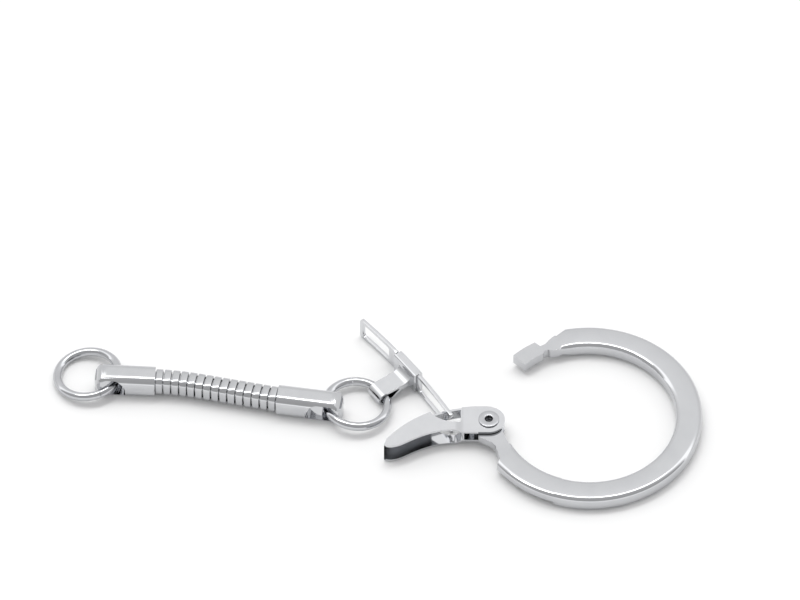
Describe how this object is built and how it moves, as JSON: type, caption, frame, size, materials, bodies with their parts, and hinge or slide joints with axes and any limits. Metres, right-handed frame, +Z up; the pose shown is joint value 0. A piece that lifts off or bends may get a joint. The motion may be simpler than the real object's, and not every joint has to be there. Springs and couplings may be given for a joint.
{
  "type": "lever-clasp key ring",
  "caption": "C-shaped key ring with a folded lever clasp and slotted gate, joined by jump rings and end caps to a short snake chain; all bright plated metal.",
  "frame": {"origin": "centre of the bounding box in plan, at the flat surface that the key ring lies on", "axes": "+X from the outer jump ring along the chain to the big ring, +Z up out of the plane of the big ring, clasp open"},
  "size_m": [0.0812, 0.0286, 0.0033],
  "materials": {
    "split_ring_body": "bright nickel plate",
    "pivot_rivet": "bright nickel plate",
    "clasp_lever": "bright nickel plate",
    "gate_link": "bright nickel plate",
    "connector_clip": "bright nickel plate",
    "jump_ring_inner": "bright nickel plate",
    "end_cap_inner": "bright nickel plate",
    "chain_link_01": "bright nickel plate",
    "chain_link_02": "bright nickel plate",
    "chain_link_03": "bright nickel plate",
    "chain_link_04": "bright nickel plate",
    "chain_link_05": "bright nickel plate",
    "chain_link_06": "bright nickel plate",
    "chain_link_07": "bright nickel plate",
    "chain_link_08": "bright nickel plate",
    "chain_link_09": "bright nickel plate",
    "chain_link_10": "bright nickel plate",
    "chain_link_11": "bright nickel plate",
    "chain_link_12": "bright nickel plate",
    "chain_link_13": "bright nickel plate",
    "chain_link_14": "bright nickel plate",
    "chain_link_15": "bright nickel plate",
    "end_cap_outer": "bright nickel plate",
    "jump_ring_outer": "bright nickel plate"
  },
  "bodies": {
    "ring": {"split_ring_body": "split_ring_body", "pivot_rivet": "pivot_rivet"},
    "lever": {"clasp_lever": "clasp_lever"},
    "gate": {"gate_link": "gate_link", "connector_clip": "connector_clip"},
    "inner_jump_ring": {"jump_ring_inner": "jump_ring_inner"},
    "inner_cap": {"end_cap_inner": "end_cap_inner"},
    "link_01": {"chain_link_01": "chain_link_01"},
    "link_02": {"chain_link_02": "chain_link_02"},
    "link_03": {"chain_link_03": "chain_link_03"},
    "link_04": {"chain_link_04": "chain_link_04"},
    "link_05": {"chain_link_05": "chain_link_05"},
    "link_06": {"chain_link_06": "chain_link_06"},
    "link_07": {"chain_link_07": "chain_link_07"},
    "link_08": {"chain_link_08": "chain_link_08"},
    "link_09": {"chain_link_09": "chain_link_09"},
    "link_10": {"chain_link_10": "chain_link_10"},
    "link_11": {"chain_link_11": "chain_link_11"},
    "link_12": {"chain_link_12": "chain_link_12"},
    "link_13": {"chain_link_13": "chain_link_13"},
    "link_14": {"chain_link_14": "chain_link_14"},
    "link_15": {"chain_link_15": "chain_link_15"},
    "outer_cap": {"end_cap_outer": "end_cap_outer"},
    "outer_jump_ring": {"jump_ring_outer": "jump_ring_outer"}
  },
  "joints": [
    {"name": "lever_pivot", "type": "hinge", "parent": "ring", "child": "lever", "pos_m": [0.01393, -0.00163, 0.00165], "axis": [0, 0, 1], "range_deg": [0, 102.3]},
    {"name": "gate_swing", "type": "hinge", "parent": "lever", "child": "gate", "pos_m": [0.00908, -0.00119, 0.00165], "axis": [0, 0, 1], "range_deg": [-157.5, 1]},
    {"name": "inner_ring_flap", "type": "hinge", "parent": "gate", "child": "inner_jump_ring", "pos_m": [0.00039, 0.00434, 0.00097], "axis": [-0.6365, 0.7713, 0], "range_deg": [-20, 20]},
    {"name": "inner_ring_orbit", "type": "hinge", "parent": "inner_jump_ring", "child": "inner_cap", "pos_m": [-0.00256, 0.00191, 0.0013], "axis": [0.0659, 0.0544, 0.9963], "range_deg": [-35, 40]},
    {"name": "chain_01", "type": "hinge", "parent": "inner_cap", "child": "link_01", "pos_m": [-0.01247, 0.00236, 0.00163], "axis": [0, 0, 1], "range_deg": [-0.5, 4]},
    {"name": "chain_02", "type": "hinge", "parent": "link_01", "child": "link_02", "pos_m": [-0.01348, 0.00259, 0.00163], "axis": [-0.2147, -0.9767, 0], "range_deg": [-4, 4]},
    {"name": "chain_03", "type": "hinge", "parent": "link_02", "child": "link_03", "pos_m": [-0.0145, 0.00281, 0.00163], "axis": [0, 0, 1], "range_deg": [-4, 4]},
    {"name": "chain_04", "type": "hinge", "parent": "link_03", "child": "link_04", "pos_m": [-0.01552, 0.00304, 0.00163], "axis": [-0.2147, -0.9767, 0], "range_deg": [-4, 4]},
    {"name": "chain_05", "type": "hinge", "parent": "link_04", "child": "link_05", "pos_m": [-0.01654, 0.00326, 0.00163], "axis": [0, 0, 1], "range_deg": [-4, 4]},
    {"name": "chain_06", "type": "hinge", "parent": "link_05", "child": "link_06", "pos_m": [-0.01755, 0.00348, 0.00163], "axis": [-0.2147, -0.9767, 0], "range_deg": [-4, 4]},
    {"name": "chain_07", "type": "hinge", "parent": "link_06", "child": "link_07", "pos_m": [-0.01857, 0.00371, 0.00163], "axis": [0, 0, 1], "range_deg": [-4, 4]},
    {"name": "chain_08", "type": "hinge", "parent": "link_07", "child": "link_08", "pos_m": [-0.01959, 0.00393, 0.00163], "axis": [-0.2147, -0.9767, 0], "range_deg": [-4, 4]},
    {"name": "chain_09", "type": "hinge", "parent": "link_08", "child": "link_09", "pos_m": [-0.02061, 0.00415, 0.00163], "axis": [0, 0, 1], "range_deg": [-4, 4]},
    {"name": "chain_10", "type": "hinge", "parent": "link_09", "child": "link_10", "pos_m": [-0.02162, 0.00438, 0.00163], "axis": [-0.2147, -0.9767, 0], "range_deg": [-4, 4]},
    {"name": "chain_11", "type": "hinge", "parent": "link_10", "child": "link_11", "pos_m": [-0.02264, 0.0046, 0.00163], "axis": [0, 0, 1], "range_deg": [-4, 4]},
    {"name": "chain_12", "type": "hinge", "parent": "link_11", "child": "link_12", "pos_m": [-0.02367, 0.0048, 0.00163], "axis": [-0.1599, -0.9871, 0], "range_deg": [-4, 4]},
    {"name": "chain_13", "type": "hinge", "parent": "link_12", "child": "link_13", "pos_m": [-0.0247, 0.00496, 0.00163], "axis": [0, 0, 1], "range_deg": [-4, 4]},
    {"name": "chain_14", "type": "hinge", "parent": "link_13", "child": "link_14", "pos_m": [-0.02573, 0.0051, 0.00163], "axis": [-0.1045, -0.9945, 0], "range_deg": [-4, 4]},
    {"name": "chain_15", "type": "hinge", "parent": "link_14", "child": "link_15", "pos_m": [-0.02676, 0.00521, 0.00163], "axis": [0, 0, 1], "range_deg": [-4, 4]},
    {"name": "chain_16", "type": "hinge", "parent": "link_15", "child": "outer_cap", "pos_m": [-0.0278, 0.00529, 0.00163], "axis": [-0.061, -0.9981, 0], "range_deg": [-4, 4]},
    {"name": "outer_ring_flap", "type": "hinge", "parent": "outer_cap", "child": "outer_jump_ring", "pos_m": [-0.03287, 0.00529, 0.00153], "axis": [0.4384, 0.8988, 0], "range_deg": [-45, 45]}
  ],
  "couplings": [
    {"joint": "gate_swing", "follows": "lever_pivot", "ratio": -1.5318}
  ]
}
